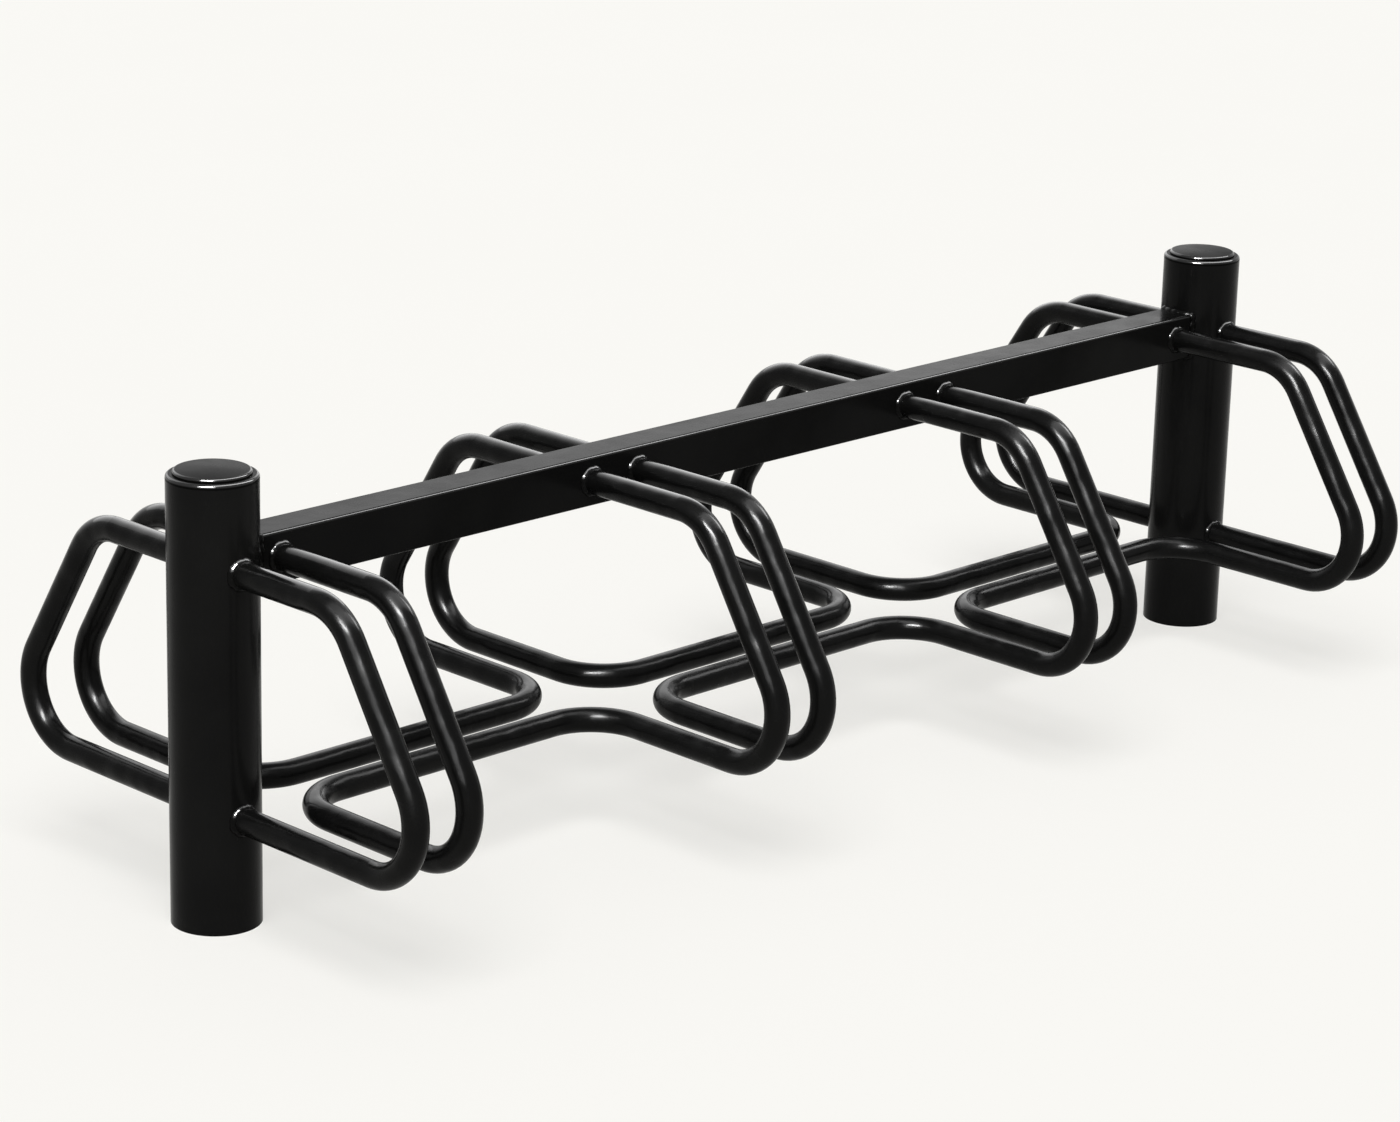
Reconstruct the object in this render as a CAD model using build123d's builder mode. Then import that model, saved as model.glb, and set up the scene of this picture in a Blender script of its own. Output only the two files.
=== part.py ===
"""Double-sided bike stand: two posts, a rail and ten bent tubes, welded into one frame.

Millimetres, +Z up. The origin is on the floor, midway between the posts.
+X runs along the rail, and the front of the stand faces -Y.
"""
from build123d import *
import os

# Posts: round tube, cut square at both ends
post_diameter = 101.6
post_wall = 3.6
post_rise = 67.0  # length of post that stands above the rail

# Push-in caps: a flange on the end of the post, a low dome, and a finned skirt in the bore
cap_flange_height = 6.0
cap_edge_radius = 4.0
cap_seam_radius = 0.8  # lower edge of the flange, where it meets the post
cap_dome_margin = 7.6
cap_dome_step = 4.0
cap_dome_edge_radius = 3.2
cap_dome_rise = 3.0
cap_wall = 2.5
cap_skirt_depth = 22.0
cap_skirt_clearance = 2.6
cap_fin_count = 3
cap_fin_thickness = 1.6
cap_fin_pitch = 6.0

# Rail: rectangular tube from post to post
rail_top = 440.0
rail_height = 60.0
rail_width = 50.0
rail_wall = 3.0
rail_inner_radius = 0.5

# Wheel slots along the rail, each between two parallel tubes
slot_count = 4
slot_pitch = 540.0
post_tube_gap = 9.2  # clear space between a post and the first link tube beside it

# Bent tubes: an arm out from the rail, a leg that slopes down and out, a low run back under the rail
tube_diameter = 30.0
tube_wall = 2.0
bend_radius = 70.0
arm_reach = 210.0  # rail centreline to the corner where arm and leg would meet
low_run_reach = 390.0  # rail centreline to the corner where leg and low run would meet
low_run_height = 130.0
inner_run_gap = 42.0  # clear space under the rail between the front and the back tubes

# Weld beads
weld_leg = 5.0
weld_toe = 1.5

# Sizes that follow from the ones above
post_radius = post_diameter / 2
post_bore_radius = post_radius - post_wall
post_height = rail_top + post_rise
tube_radius = tube_diameter / 2
slot_tube_spacing = post_radius + post_tube_gap + tube_radius
post_spacing = (slot_count - 1) * slot_pitch + slot_tube_spacing
arm_height = rail_top - rail_height / 2
rail_side = rail_width / 2
rail_corner_radius = rail_inner_radius + rail_wall
inner_run_offset = inner_run_gap / 2 + tube_radius

first_post_x = -post_spacing / 2
post_places = {"left": first_post_x, "right": -first_post_x}
sides = {"front": -1, "back": 1}

os.makedirs("parts", exist_ok=True)


def save(part, name):
    """Label one finished piece and write it to its own file."""
    part.label = name
    export_step(part, f"parts/{name}.step")


def link_ends(number):
    """X of the two ends of one link tube, which reaches from one slot to the next."""
    slot_x = first_post_x + (number - 1) * slot_pitch
    return slot_x + slot_tube_spacing, slot_x + slot_pitch


def sweep_tube(route):
    """Sweep the tube's ring-shaped section along its route."""
    with BuildSketch(Plane(origin=route @ 0, z_dir=route % 0)) as section:
        Circle(tube_radius)
        Circle(tube_radius - tube_wall, mode=Mode.SUBTRACT)
    sweep(section.sketch, path=route)


def outer_rim(bead, outward):
    """Outer edges of the round face of a bead that lies furthest from its post."""
    return bead.faces().filter_by(GeomType.CYLINDER).sort_by(outward)[-1].outer_wire().edges()


# Posts
for end, post_x in post_places.items():
    with BuildPart() as post:
        with BuildSketch():
            with Locations((post_x, 0)):
                Circle(post_radius)
                Circle(post_bore_radius, mode=Mode.SUBTRACT)
        extrude(amount=post_height)
    save(post.part, f"post_{end}")

# Caps: a turned profile, hollow below the dome, with fins that grip the bore
flange_top = post_height + cap_flange_height
dome_foot = flange_top + cap_dome_step
dome_top = dome_foot + cap_dome_rise
dome_radius = post_radius - cap_dome_margin
skirt_radius = post_bore_radius - cap_skirt_clearance
skirt_end = post_height - cap_skirt_depth
hollow_radius = skirt_radius - cap_wall
hollow_top = dome_top - cap_wall
hollow_edge = dome_foot - cap_wall

for end, post_x in post_places.items():
    with BuildPart() as cap:
        with BuildSketch(Plane.XZ.shift_origin((post_x, 0, 0))) as profile:
            with BuildLine():
                Line((0, skirt_end), (0, dome_top))
                TangentArc((0, dome_top), (dome_radius, dome_foot), tangent=(1, 0))
                Polyline((dome_radius, dome_foot), (dome_radius, flange_top), (post_radius, flange_top),
                         (post_radius, post_height), (skirt_radius, post_height), (skirt_radius, skirt_end),
                         (0, skirt_end))
            make_face()
            dome_edge = profile.vertices().sort_by(Axis.Y)[-2]
            fillet(dome_edge, cap_dome_edge_radius)
            seam_edge, flange_edge = profile.vertices().group_by(Axis.X)[-1].sort_by(Axis.Y)
            fillet(flange_edge, cap_edge_radius)
            fillet(seam_edge, cap_seam_radius)
            for fin in range(cap_fin_count):
                with Locations((0, skirt_end + fin * cap_fin_pitch)):
                    Rectangle(post_bore_radius, cap_fin_thickness, align=Align.MIN)
            with BuildLine():
                Line((0, skirt_end), (0, hollow_top))
                TangentArc((0, hollow_top), (hollow_radius, hollow_edge), tangent=(1, 0))
                Polyline((hollow_radius, hollow_edge), (hollow_radius, skirt_end), (0, skirt_end))
            make_face(mode=Mode.SUBTRACT)
        revolve(axis=Axis((post_x, 0, 0), (0, 0, 1)))
    save(cap.part, f"cap_{end}")

# Rail: coped at both ends to sit on the round posts
with BuildPart() as rail:
    with BuildSketch(Plane((first_post_x, 0, arm_height), x_dir=(0, 1, 0), z_dir=(1, 0, 0))):
        RectangleRounded(rail_width, rail_height, rail_corner_radius)
        RectangleRounded(rail_width - 2 * rail_wall, rail_height - 2 * rail_wall, rail_inner_radius,
                         mode=Mode.SUBTRACT)
    extrude(amount=post_spacing)
    with Locations((post_places["left"], 0, arm_height), (post_places["right"], 0, arm_height)):
        Cylinder(post_radius, 2 * rail_height, mode=Mode.SUBTRACT)
save(rail.part, "rail")

# End loops: an upright D, with both tube ends coped to the post
for end, post_x in post_places.items():
    for side_name, side in sides.items():
        with BuildPart() as loop:
            with BuildLine() as loop_route:
                FilletPolyline((post_x, 0, arm_height), (post_x, side * arm_reach, arm_height),
                               (post_x, side * low_run_reach, low_run_height), (post_x, 0, low_run_height),
                               radius=bend_radius)
            sweep_tube(loop_route.line)
            with Locations((post_x, 0, 0)):
                Cylinder(post_radius, post_height, align=(Align.CENTER, Align.CENTER, Align.MIN),
                         mode=Mode.SUBTRACT)
        save(loop.part, f"loop_{end}_{side_name}")

# Link tubes: down the far side of one slot, along under the rail, and up the near side of the next
for side_name, side in sides.items():
    for number in range(1, slot_count):
        start_x, end_x = link_ends(number)
        with BuildPart() as link:
            with BuildLine() as link_route:
                FilletPolyline((start_x, side * rail_side, arm_height),
                               (start_x, side * arm_reach, arm_height),
                               (start_x, side * low_run_reach, low_run_height),
                               (start_x, side * inner_run_offset, low_run_height),
                               (end_x, side * inner_run_offset, low_run_height),
                               (end_x, side * low_run_reach, low_run_height),
                               (end_x, side * arm_reach, arm_height),
                               (end_x, side * rail_side, arm_height),
                               radius=bend_radius)
            sweep_tube(link_route.line)
        save(link.part, f"link_{side_name}_{number}")

# Beads where the link tubes meet the flat sides of the rail
for side_name, side in sides.items():
    with BuildPart() as link_welds:
        for number in range(1, slot_count):
            for tube_x in link_ends(number):
                seat = Plane((tube_x, side * rail_side, arm_height), x_dir=(1, 0, 0), z_dir=(0, 0, side))
                with BuildSketch(seat):
                    with BuildLine():
                        Polyline((tube_radius, 0), (tube_radius + weld_leg, 0),
                                 (tube_radius + weld_leg, weld_toe), (tube_radius + weld_toe, weld_leg),
                                 (tube_radius, weld_leg), close=True)
                    make_face()
                revolve(axis=Axis(seat.origin, seat.y_dir))
    save(link_welds.part, f"link_welds_{side_name}")

# Saddle bead where a loop meets a post, made once on the front of a post at the origin
bead_radius = post_radius + weld_leg
with BuildPart() as saddle:
    with BuildSketch(Plane.XZ):
        Circle(tube_radius + weld_leg)
        Circle(tube_radius, mode=Mode.SUBTRACT)
    extrude(amount=post_diameter)
    Cylinder(bead_radius, post_diameter, mode=Mode.INTERSECT)
    Cylinder(post_radius, post_diameter, mode=Mode.SUBTRACT)
    chamfer(outer_rim(saddle, -Axis.Y), weld_leg - weld_toe)

for end, post_x in post_places.items():
    with BuildPart() as loop_welds:
        for height in (arm_height, low_run_height):
            with Locations((post_x, 0, height)):
                with PolarLocations(0, len(sides)):
                    add(saddle.part)
    save(loop_welds.part, f"loop_welds_{end}")

# Bead round each coped end of the rail
for end, post_x in post_places.items():
    inward = Axis.X if post_x < 0 else -Axis.X
    with BuildPart() as rail_weld:
        with BuildSketch(Plane((post_x, 0, arm_height), x_dir=(0, 1, 0), z_dir=inward.direction)):
            RectangleRounded(rail_width + 2 * weld_leg, rail_height + 2 * weld_leg,
                             rail_corner_radius + weld_leg)
            RectangleRounded(rail_width, rail_height, rail_corner_radius, mode=Mode.SUBTRACT)
        extrude(amount=post_diameter)
        with Locations((post_x, 0, arm_height)):
            Cylinder(bead_radius, 2 * rail_height, mode=Mode.INTERSECT)
            Cylinder(post_radius, 2 * rail_height, mode=Mode.SUBTRACT)
        chamfer(outer_rim(rail_weld, inward), weld_leg - weld_toe)
    save(rail_weld.part, f"rail_weld_{end}")
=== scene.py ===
"""Gloss black bike stand: coated steel frame, rippled weld beads and moulded caps, in a pale studio."""
import bpy
import bmesh
from math import cos, pi, radians, sin
from mathutils import Matrix, Vector


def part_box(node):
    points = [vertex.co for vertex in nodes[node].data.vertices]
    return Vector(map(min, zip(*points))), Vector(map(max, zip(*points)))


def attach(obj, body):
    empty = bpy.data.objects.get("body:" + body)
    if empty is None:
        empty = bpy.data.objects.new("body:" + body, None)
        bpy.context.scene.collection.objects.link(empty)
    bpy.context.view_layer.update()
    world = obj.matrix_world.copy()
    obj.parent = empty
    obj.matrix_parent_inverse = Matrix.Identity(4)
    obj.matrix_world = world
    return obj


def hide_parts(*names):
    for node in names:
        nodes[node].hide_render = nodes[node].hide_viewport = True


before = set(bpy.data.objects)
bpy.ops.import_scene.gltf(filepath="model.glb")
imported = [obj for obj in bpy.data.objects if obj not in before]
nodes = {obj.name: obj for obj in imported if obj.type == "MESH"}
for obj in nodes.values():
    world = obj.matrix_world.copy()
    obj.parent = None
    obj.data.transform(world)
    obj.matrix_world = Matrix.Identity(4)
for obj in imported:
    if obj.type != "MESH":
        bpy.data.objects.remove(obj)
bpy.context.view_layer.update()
scene = bpy.context.scene
scene.view_settings.view_transform = "Standard"

# Black coat: noise scales are in cells per metre, heights and depths in metres
shade_scale = 9.0
gloss_scale = 21.0
wave_scale = 26.0
sheen_scale = 3.1
dull_patch_sheen = 0.8  # share of the sheen that the dullest patches keep
low_run_sheen = 0.25  # share of the sheen that the low runs keep
low_sheen_height = 0.16
full_sheen_height = 0.38
sheen_fade = 0.05  # how far under its limit the sheen starts to fade
relief_depth = 0.002
clear_coat_roughness = 0.1
warmth = 0.0002  # how much less blue the light patches are

# Slants between which the clear coat comes in: 0 is seen square on, 1 is seen edge on
at_a_slant = (0.35, 0.6)
at_every_slant = (-1.0, 0.0)


def coat_shades(dark, light):
    """Tones of the dark and the light patches of a black coat."""
    return {"Dark": (dark, dark, dark, 1), "Light": (light, light, light - warmth, 1)}


skin_inputs = {**coat_shades(0.0016, 0.0036),
               "Gloss Low": 0.15, "Gloss High": 0.27,
               "Peel Scale": 320.0, "Peel": 0.03, "Wave": 1.0,
               "Sheen": 1.0, "Sheen From": 0.2, "Sheen To": 0.8, "Sheen Limit": 2.0}
skin_outputs = {"Color": "NodeSocketColor", "Roughness": "NodeSocketFloat",
                "Height": "NodeSocketFloat", "Clear Coat": "NodeSocketFloat"}


# Shader steps that the materials share
def feed(tree, value, socket):
    """Link an output to a socket, or set the socket to a plain value."""
    if isinstance(value, bpy.types.NodeSocket):
        tree.links.new(value, socket)
    else:
        socket.default_value = value


def noise_texture(tree, place, scale, detail, roughness=0.5):
    noise = tree.nodes.new("ShaderNodeTexNoise")
    feed(tree, place, noise.inputs["Vector"])
    feed(tree, scale, noise.inputs["Scale"])
    feed(tree, detail, noise.inputs["Detail"])
    feed(tree, roughness, noise.inputs["Roughness"])
    return noise.outputs["Fac"]


def maths(tree, operation, first, second):
    node = tree.nodes.new("ShaderNodeMath")
    node.operation = operation
    feed(tree, first, node.inputs[0])
    feed(tree, second, node.inputs[1])
    return node.outputs[0]


def product(tree, first, *others):
    for other in others:
        first = maths(tree, "MULTIPLY", first, other)
    return first


def spread(tree, value, low, high, start=0.3, stop=0.7):
    """Map a value that runs from start to stop, as noise does by default, onto low to high."""
    node = tree.nodes.new("ShaderNodeMapRange")
    feed(tree, value, node.inputs["Value"])
    feed(tree, start, node.inputs["From Min"])
    feed(tree, stop, node.inputs["From Max"])
    feed(tree, low, node.inputs["To Min"])
    feed(tree, high, node.inputs["To Max"])
    return node.outputs["Result"]


def mix_colours(tree, share, first, second):
    mix = tree.nodes.new("ShaderNodeMix")
    mix.data_type = "RGBA"
    feed(tree, share, mix.inputs["Factor"])
    feed(tree, first, mix.inputs["A"])
    feed(tree, second, mix.inputs["B"])
    return mix.outputs["Result"]


def upward(tree, vector):
    """Z of a vector: the height of a place, or how far a normal points up."""
    node = tree.nodes.new("ShaderNodeSeparateXYZ")
    feed(tree, vector, node.inputs["Vector"])
    return node.outputs["Z"]


def seen_rays(tree):
    """Mask of the rays that show a surface to the camera, in gloss or through glass."""
    rays = tree.nodes.new("ShaderNodeLightPath").outputs
    seen = maths(tree, "ADD", rays["Is Camera Ray"], rays["Is Glossy Ray"])
    return maths(tree, "ADD", seen, rays["Is Transmission Ray"])


# Finishes
def make_coat_skin():
    """Skin of a sprayed or moulded black finish: shade, gloss, relief and sheen, all uneven."""
    group = bpy.data.node_groups.new("coat_skin", "ShaderNodeTree")
    for name, value in skin_inputs.items():
        kind = "NodeSocketFloat" if isinstance(value, float) else "NodeSocketColor"
        socket = group.interface.new_socket(name=name, in_out="INPUT", socket_type=kind)
        socket.default_value = value
    for name, kind in skin_outputs.items():
        group.interface.new_socket(name=name, in_out="OUTPUT", socket_type=kind)
    source = group.nodes.new("NodeGroupInput").outputs
    sink = group.nodes.new("NodeGroupOutput").inputs
    coords = group.nodes.new("ShaderNodeTexCoord").outputs
    place = coords["Object"]

    # Shade and gloss, in soft patches
    shade = spread(group, noise_texture(group, place, shade_scale, detail=4.0), 0.0, 1.0)
    feed(group, mix_colours(group, shade, source["Dark"], source["Light"]), sink["Color"])
    cloud = noise_texture(group, place, gloss_scale, detail=5.0, roughness=0.6)
    feed(group, spread(group, cloud, source["Gloss Low"], source["Gloss High"]), sink["Roughness"])

    # Relief: fine orange peel on long waves
    peel = product(group, noise_texture(group, place, source["Peel Scale"], detail=1.0), source["Peel"])
    wave = product(group, noise_texture(group, place, wave_scale, detail=1.0), source["Wave"])
    feed(group, maths(group, "ADD", peel, wave), sink["Height"])

    # Sheen on what faces up, weaker in patches and on the low runs
    slope = upward(group, coords["Normal"])
    rising = spread(group, slope, 0.0, 1.0, source["Sheen From"], source["Sheen To"])
    fade_start = maths(group, "SUBTRACT", source["Sheen Limit"], sheen_fade)
    fading = spread(group, slope, 1.0, 0.0, fade_start, source["Sheen Limit"])
    patches = spread(group, noise_texture(group, place, sheen_scale, detail=1.0), dull_patch_sheen, 1.0)
    raised = spread(group, upward(group, place), low_run_sheen, 1.0, low_sheen_height, full_sheen_height)
    feed(group, product(group, rising, fading, patches, source["Sheen"], raised), sink["Clear Coat"])
    return group


coat_skin = make_coat_skin()


def make_finish(name, gloss_level, coated, values):
    """Black finish on the shared skin, with a clear coat that comes in between two slants."""
    finish = bpy.data.materials.new(name)
    finish.use_nodes = True
    tree = finish.node_tree
    shader = tree.nodes["Principled BSDF"].inputs
    shader["Specular IOR Level"].default_value = gloss_level
    shader["Coat Roughness"].default_value = clear_coat_roughness
    skin = tree.nodes.new("ShaderNodeGroup")
    skin.node_tree = coat_skin
    for socket, value in values.items():
        skin.inputs[socket].default_value = value
    bump = tree.nodes.new("ShaderNodeBump")
    bump.inputs["Distance"].default_value = relief_depth
    slant = tree.nodes.new("ShaderNodeLayerWeight").outputs["Facing"]
    slanted = spread(tree, slant, 0.0, 1.0, *coated)
    tree.links.new(skin.outputs["Color"], shader["Base Color"])
    tree.links.new(skin.outputs["Roughness"], shader["Roughness"])
    tree.links.new(skin.outputs["Height"], bump.inputs["Height"])
    tree.links.new(bump.outputs["Normal"], shader["Normal"])
    tree.links.new(product(tree, slanted, skin.outputs["Clear Coat"]), shader["Coat Weight"])
    return finish


# Base tones of the coats on tubes, posts and rail: the coat's own black, raised with painted reflection
# that makes up for their low gloss levels, most on the posts
tube_coat = make_finish(
    "gloss_black_coat_on_tubes", gloss_level=0.05, coated=at_a_slant,
    values={**coat_shades(0.0034, 0.0058), "Gloss Low": 0.18, "Gloss High": 0.32, "Wave": 1.4})
post_coat = make_finish(
    "gloss_black_coat_on_posts", gloss_level=0.04, coated=at_a_slant,
    values={**coat_shades(0.0052, 0.0074), "Wave": 0.2})
rail_coat = make_finish(
    "gloss_black_coat_on_rail", gloss_level=0.02, coated=at_every_slant,
    values={**coat_shades(0.0042, 0.0062), "Wave": 0.2,
            "Sheen": 0.6, "Sheen From": 0.1, "Sheen To": 0.35, "Sheen Limit": 0.97})
bead_coat = make_finish(
    "gloss_black_coat_on_welds", gloss_level=0.05, coated=at_every_slant,
    values={"Gloss Low": 0.16, "Gloss High": 0.26, "Wave": 0.1,
            "Sheen": 0.4, "Sheen From": 0.25, "Sheen To": 0.55})
seam_coat = make_finish(
    "gloss_black_coat_on_rail_welds", gloss_level=0.05, coated=at_a_slant,
    values={"Wave": 0.1, "Sheen": 0.25})
cap_plastic = make_finish(
    "gloss_black_cap_plastic", gloss_level=0.014, coated=at_every_slant,
    values={"Gloss Low": 0.25, "Gloss High": 0.35, "Peel Scale": 900.0, "Peel": 0.01, "Wave": 0.1,
            "Sheen": 0.9, "Sheen From": 0.05, "Sheen To": 0.3, "Sheen Limit": 0.99})


def dress(node, finish):
    for slot in node.material_slots:
        slot.material = finish


for name, node in nodes.items():
    if name.startswith("cap_"):
        dress(node, cap_plastic)
    elif name.startswith("post_"):
        dress(node, post_coat)
    elif name == "rail":
        dress(node, rail_coat)
    elif "weld" not in name:
        dress(node, tube_coat)

# Weld beads: a flattened round section carried round each joint, swelling and shrinking with every ripple
bead_radius = 0.0046
bead_flatness = 0.5  # thickness of the section across the corner, against its width
bead_lift = 0.0009  # how far the section's middle stands off both surfaces
bead_segments = 12
ripple_length = 0.0128
ripple_swell = (0.68, 0.85, 0.95, 1.0, 1.0, 0.95, 0.83)
ripple_wander = ((0.07, 2.3), (0.04, 5.1))  # slow changes of size: the share, and the radians a ripple
rail_corner = 0.0035  # outer corner radius of the rail, which its beads follow
merge_distance = 0.00001
flatten = Matrix.Scale(bead_flatness, 4, Vector((1, 1, 0)))

# Sizes taken from the frame
post_low, post_high = [Vector(corner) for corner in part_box("post_left")]
post_radius = (post_high.x - post_low.x) / 2
loop_low, loop_high = [Vector(corner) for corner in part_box("loop_left_front")]
tube_radius = (loop_high.x - loop_low.x) / 2
arm_height = loop_high.z - tube_radius
low_run_height = loop_low.z + tube_radius
rail_low, rail_high = [Vector(corner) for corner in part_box("rail")]


def bead_seats(joint, length):
    """Section seats round a joint; joint(turn) gives the corner and the ways off both surfaces."""
    ripples = round(length / ripple_length)
    steps = ripples * len(ripple_swell)
    seats = []
    for step in range(steps):
        corner, off_wall, off_tube = joint(step / steps)
        ripple, part = divmod(step, len(ripple_swell))
        wander = sum(share * sin(pace * ripple) for share, pace in ripple_wander)
        size = bead_radius * ripple_swell[part] * (1 + wander)
        ahead = off_wall.cross(off_tube).normalized()
        out = ahead.cross(off_wall)
        basis = Matrix((off_wall, out, ahead)).transposed().to_4x4()
        centre = corner + bead_lift * (off_wall + off_tube)
        seats.append(Matrix.Translation(centre) @ basis @ flatten @ Matrix.Scale(size, 4))
    return seats


def lay_bead(form, seats):
    """Extrude the round section from seat to seat until it meets its start."""
    ring = bmesh.ops.create_circle(form, segments=bead_segments, radius=1.0, matrix=seats[0])["verts"]
    rim = list(dict.fromkeys(edge for vert in ring for edge in vert.link_edges))
    for seat, next_seat in zip(seats, seats[1:] + seats[:1]):
        grown = bmesh.ops.extrude_edge_only(form, edges=rim)["geom"]
        ring = [part for part in grown if isinstance(part, bmesh.types.BMVert)]
        edges = [part for part in grown if isinstance(part, bmesh.types.BMEdge)]
        rim = [edge for edge in edges if set(edge.verts) <= set(ring)]
        bmesh.ops.transform(form, matrix=next_seat @ seat.inverted(), verts=ring)


def tube_on_rail(tube_x, side):
    """Joint of a link tube and the flat side of the rail."""
    middle = Vector((tube_x, side * rail_high.y, arm_height))
    off_rail = Vector((0, side, 0))

    def joint(turn):
        spoke = Vector((cos(2 * pi * turn), 0, sin(2 * pi * turn)))
        return middle + tube_radius * spoke, off_rail, spoke
    return joint


def tube_on_post(post_x, side, height):
    """Joint of a loop tube and the round post, which dips at both sides of the tube."""
    def joint(turn):
        spoke = Vector((cos(2 * pi * turn), 0, sin(2 * pi * turn)))
        lean = tube_radius * spoke.x / post_radius
        off_post = Vector((lean, side * (1 - lean * lean) ** 0.5, 0))
        level = Vector((post_x, 0, height + tube_radius * spoke.z))
        return level + post_radius * off_post, off_post, spoke
    return joint


def rail_on_post(post_x):
    """Joint of the coped rail and the round post: a rounded rectangle wrapped on the post."""
    inward = -1 if post_x > 0 else 1
    flat_y = rail_high.y - rail_corner
    flat_z = (rail_high.z - rail_low.z) / 2 - rail_corner
    arc = rail_corner * pi / 2
    # Half the length of each flat side, and how far out the centres of its corners lie
    quarters = ((flat_z, flat_y), (flat_y, flat_z)) * 2
    length = sum(2 * half_side + arc for half_side, reach in quarters)

    def joint(turn):
        quarter = 0
        left = turn * length
        while left > 2 * quarters[quarter][0] + arc:
            left -= 2 * quarters[quarter][0] + arc
            quarter += 1
        half_side, reach = quarters[quarter]
        along = min(left, 2 * half_side) - half_side
        facing = quarter * pi / 2
        bend = facing + max(left - 2 * half_side, 0) / rail_corner
        out = Vector((0, cos(bend), sin(bend)))
        y = reach * cos(facing) - along * sin(facing) + rail_corner * out.y
        z = reach * sin(facing) + along * cos(facing) + rail_corner * out.z
        lean = y / post_radius
        off_post = Vector((inward * (1 - lean * lean) ** 0.5, lean, 0))
        return Vector((post_x, 0, arm_height + z)) + post_radius * off_post, off_post, out
    return joint, length


def weld_piece(name, joints, node, finish):
    """One piece of laid beads, in place of the plain beads of a node."""
    form = bmesh.new()
    for joint, length in joints:
        lay_bead(form, bead_seats(joint, length))
    bmesh.ops.remove_doubles(form, verts=form.verts[:], dist=merge_distance)
    bmesh.ops.recalc_face_normals(form, faces=form.faces[:])
    for face in form.faces:
        face.smooth = True
    mesh = bpy.data.meshes.new(name)
    form.to_mesh(mesh)
    form.free()
    mesh.materials.append(finish)
    piece = bpy.data.objects.new(name, mesh)
    scene.collection.objects.link(piece)
    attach(piece, "root")
    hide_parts(node)


round_joint = 2 * pi * (tube_radius + bead_lift)
for side_name, side in (("front", -1), ("back", 1)):
    joints = []
    for number in (1, 2, 3):
        low, high = [Vector(corner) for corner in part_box(f"link_{side_name}_{number}")]
        for tube_x in (low.x + tube_radius, high.x - tube_radius):
            joints.append((tube_on_rail(tube_x, side), round_joint))
    weld_piece(f"rippled_link_beads_{side_name}", joints, f"link_welds_{side_name}", bead_coat)

for end in ("left", "right"):
    low, high = [Vector(corner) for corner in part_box(f"post_{end}")]
    post_x = (low.x + high.x) / 2
    joints = [(tube_on_post(post_x, side, height), round_joint)
              for side in (-1, 1) for height in (arm_height, low_run_height)]
    weld_piece(f"rippled_loop_beads_{end}", joints, f"loop_welds_{end}", bead_coat)
    weld_piece(f"rippled_rail_bead_{end}", [rail_on_post(post_x)], f"rail_weld_{end}", seam_coat)

# Stage: a pale floor that partly glows where it is seen, and keeps the shadow
floor_reach = 60.0
floor_tints = ((0.955, 0.946, 0.912, 1), (0.965, 0.956, 0.922, 1))
floor_tint_scale = 1.5
floor_roughness = 0.9
floor_glow = 0.62  # share of the floor that glows to the rays that see it


def paint_floor():
    """Pale paint that mixes in a glow for the rays that see it."""
    paint = bpy.data.materials.new("pale_studio_floor")
    paint.use_nodes = True
    tree = paint.node_tree
    shader = tree.nodes["Principled BSDF"]
    shader.inputs["Roughness"].default_value = floor_roughness
    shader.inputs["Specular IOR Level"].default_value = 0.0
    place = tree.nodes.new("ShaderNodeTexCoord").outputs["Object"]
    tint = mix_colours(tree, noise_texture(tree, place, floor_tint_scale, detail=2.0), *floor_tints)
    tree.links.new(tint, shader.inputs["Base Color"])
    glow = tree.nodes.new("ShaderNodeEmission")
    tree.links.new(tint, glow.inputs["Color"])
    blend = tree.nodes.new("ShaderNodeMixShader")
    tree.links.new(product(tree, seen_rays(tree), floor_glow), blend.inputs["Fac"])
    tree.links.new(shader.outputs["BSDF"], blend.inputs[1])
    tree.links.new(glow.outputs["Emission"], blend.inputs[2])
    tree.links.new(blend.outputs["Shader"], tree.nodes["Material Output"].inputs["Surface"])
    return paint


def make_floor():
    mesh = bpy.data.meshes.new("studio_floor")
    form = bmesh.new()
    bmesh.ops.create_grid(form, x_segments=1, y_segments=1, size=floor_reach)
    form.to_mesh(mesh)
    form.free()
    mesh.materials.append(paint_floor())
    floor = bpy.data.objects.new("studio_floor", mesh)
    scene.collection.objects.link(floor)


make_floor()

# Light: an even white room, one soft key, and panels that draw the highlights
room_light = 0.40
room_seen = 0.38  # added to the room's light for the rays that see the room
stand_middle = (0, 0, 0.35)


def light_room():
    world = bpy.data.worlds.new("white_room")
    scene.world = world
    world.use_nodes = True
    tree = world.node_tree
    room = tree.nodes["Background"]
    room.inputs["Color"].default_value = (1, 1, 1, 1)
    strength = maths(tree, "ADD", product(tree, seen_rays(tree), room_seen), room_light)
    tree.links.new(strength, room.inputs["Strength"])


def add_key(name, strength, angle, turn):
    """Soft sun that lights the coat and casts the shadow, but doesn't show in the gloss."""
    lamp = bpy.data.lights.new(name, "SUN")
    lamp.energy = strength
    lamp.angle = angle
    key = bpy.data.objects.new(name, lamp)
    key.rotation_euler = turn
    key.visible_glossy = False
    scene.collection.objects.link(key)


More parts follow.
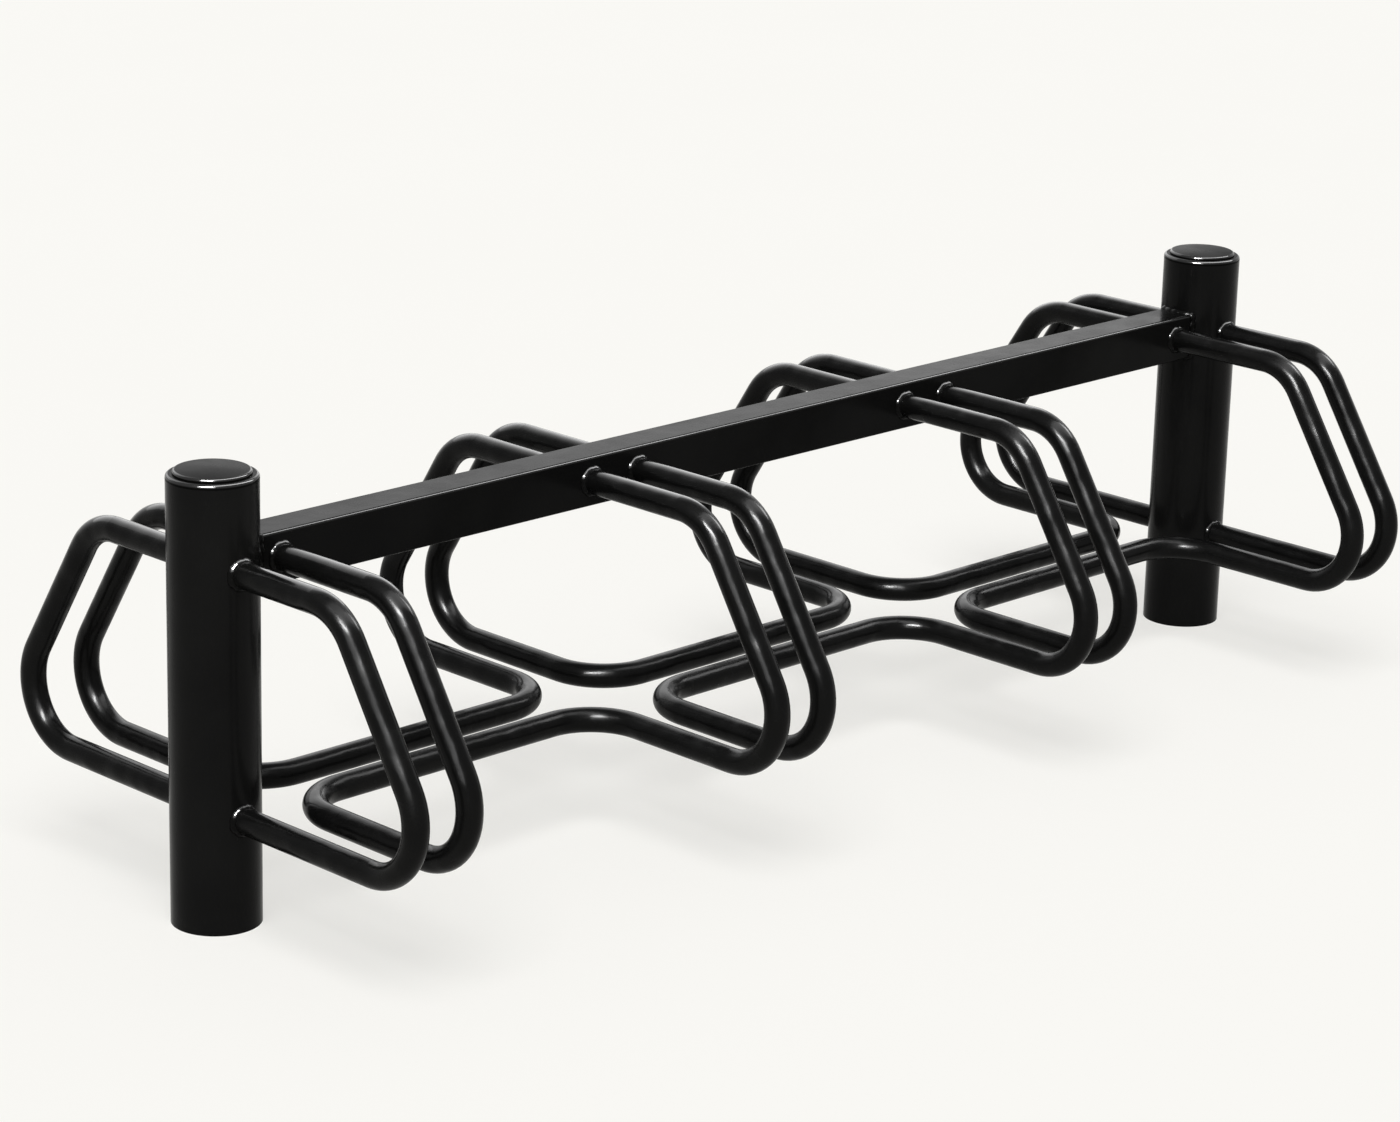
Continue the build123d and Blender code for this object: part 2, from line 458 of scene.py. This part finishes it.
def add_panel(name, place, aim, along, length, width, radiance):
    """Rectangular panel that shows in the gloss alone, given by how bright its face is."""
    lamp = bpy.data.lights.new(name, "AREA")
    lamp.shape = "RECTANGLE"
    lamp.size = length
    lamp.size_y = width
    lamp.energy = radiance * pi * length * width
    panel = bpy.data.objects.new(name, lamp)
    back = (Vector(place) - Vector(aim)).normalized()
    across = back.cross(Vector(along)).normalized()
    length_way = across.cross(back)
    turn = Matrix((length_way, across, back)).transposed().to_4x4()
    panel.matrix_world = Matrix.Translation(place) @ turn
    panel.visible_diffuse = False
    scene.collection.objects.link(panel)


light_room()
add_key("overhead_key", strength=2.0, angle=radians(42), turn=(radians(17.5), radians(-18.3), 0))
add_panel("overhead_strip", place=(1.0, -0.6, 2.4), aim=(1.0, -0.6, 0), along=(1, 0, 0),
          length=5.2, width=0.9, radiance=15)
add_panel("back_softbox", place=(1.2, 3.0, 2.2), aim=(0.2, 0, 0.4), along=(1, 0, 0),
          length=6.0, width=2.4, radiance=1.4)
add_panel("front_left_softbox", place=(-3.5, -2.0, 2.5), aim=stand_middle, along=(0, 0, 1),
          length=2.2, width=2.8, radiance=14)
add_panel("front_left_lamp", place=(-3.0, -1.5, 3.35), aim=stand_middle, along=(0, 0, 1),
          length=0.8, width=1.8, radiance=380)

# Camera: fitted to the photograph, whose frame is 1400 by 1122
photo_width = 1400
focal_length = 4113.6  # in pixels of the photograph
camera_place = (-3.4918, -3.3455, 1.7150)
azimuth, elevation, roll = 0.7920, 0.2952, 0.0257  # in radians
camera_reach = 200


def place_camera():
    lens = bpy.data.cameras.new("photo_view")
    lens.sensor_fit = "HORIZONTAL"
    lens.lens = focal_length / photo_width * lens.sensor_width
    lens.clip_end = camera_reach
    ahead = Vector((sin(azimuth) * cos(elevation), cos(azimuth) * cos(elevation), -sin(elevation)))
    level = Vector((cos(azimuth), -sin(azimuth), 0))
    rise = level.cross(ahead)
    right = cos(roll) * level + sin(roll) * rise
    up = cos(roll) * rise - sin(roll) * level
    turn = Matrix((right, up, -ahead)).transposed().to_4x4()
    camera = bpy.data.objects.new("photo_view", lens)
    camera.matrix_world = Matrix.Translation(camera_place) @ turn
    scene.collection.objects.link(camera)
    scene.camera = camera


place_camera()
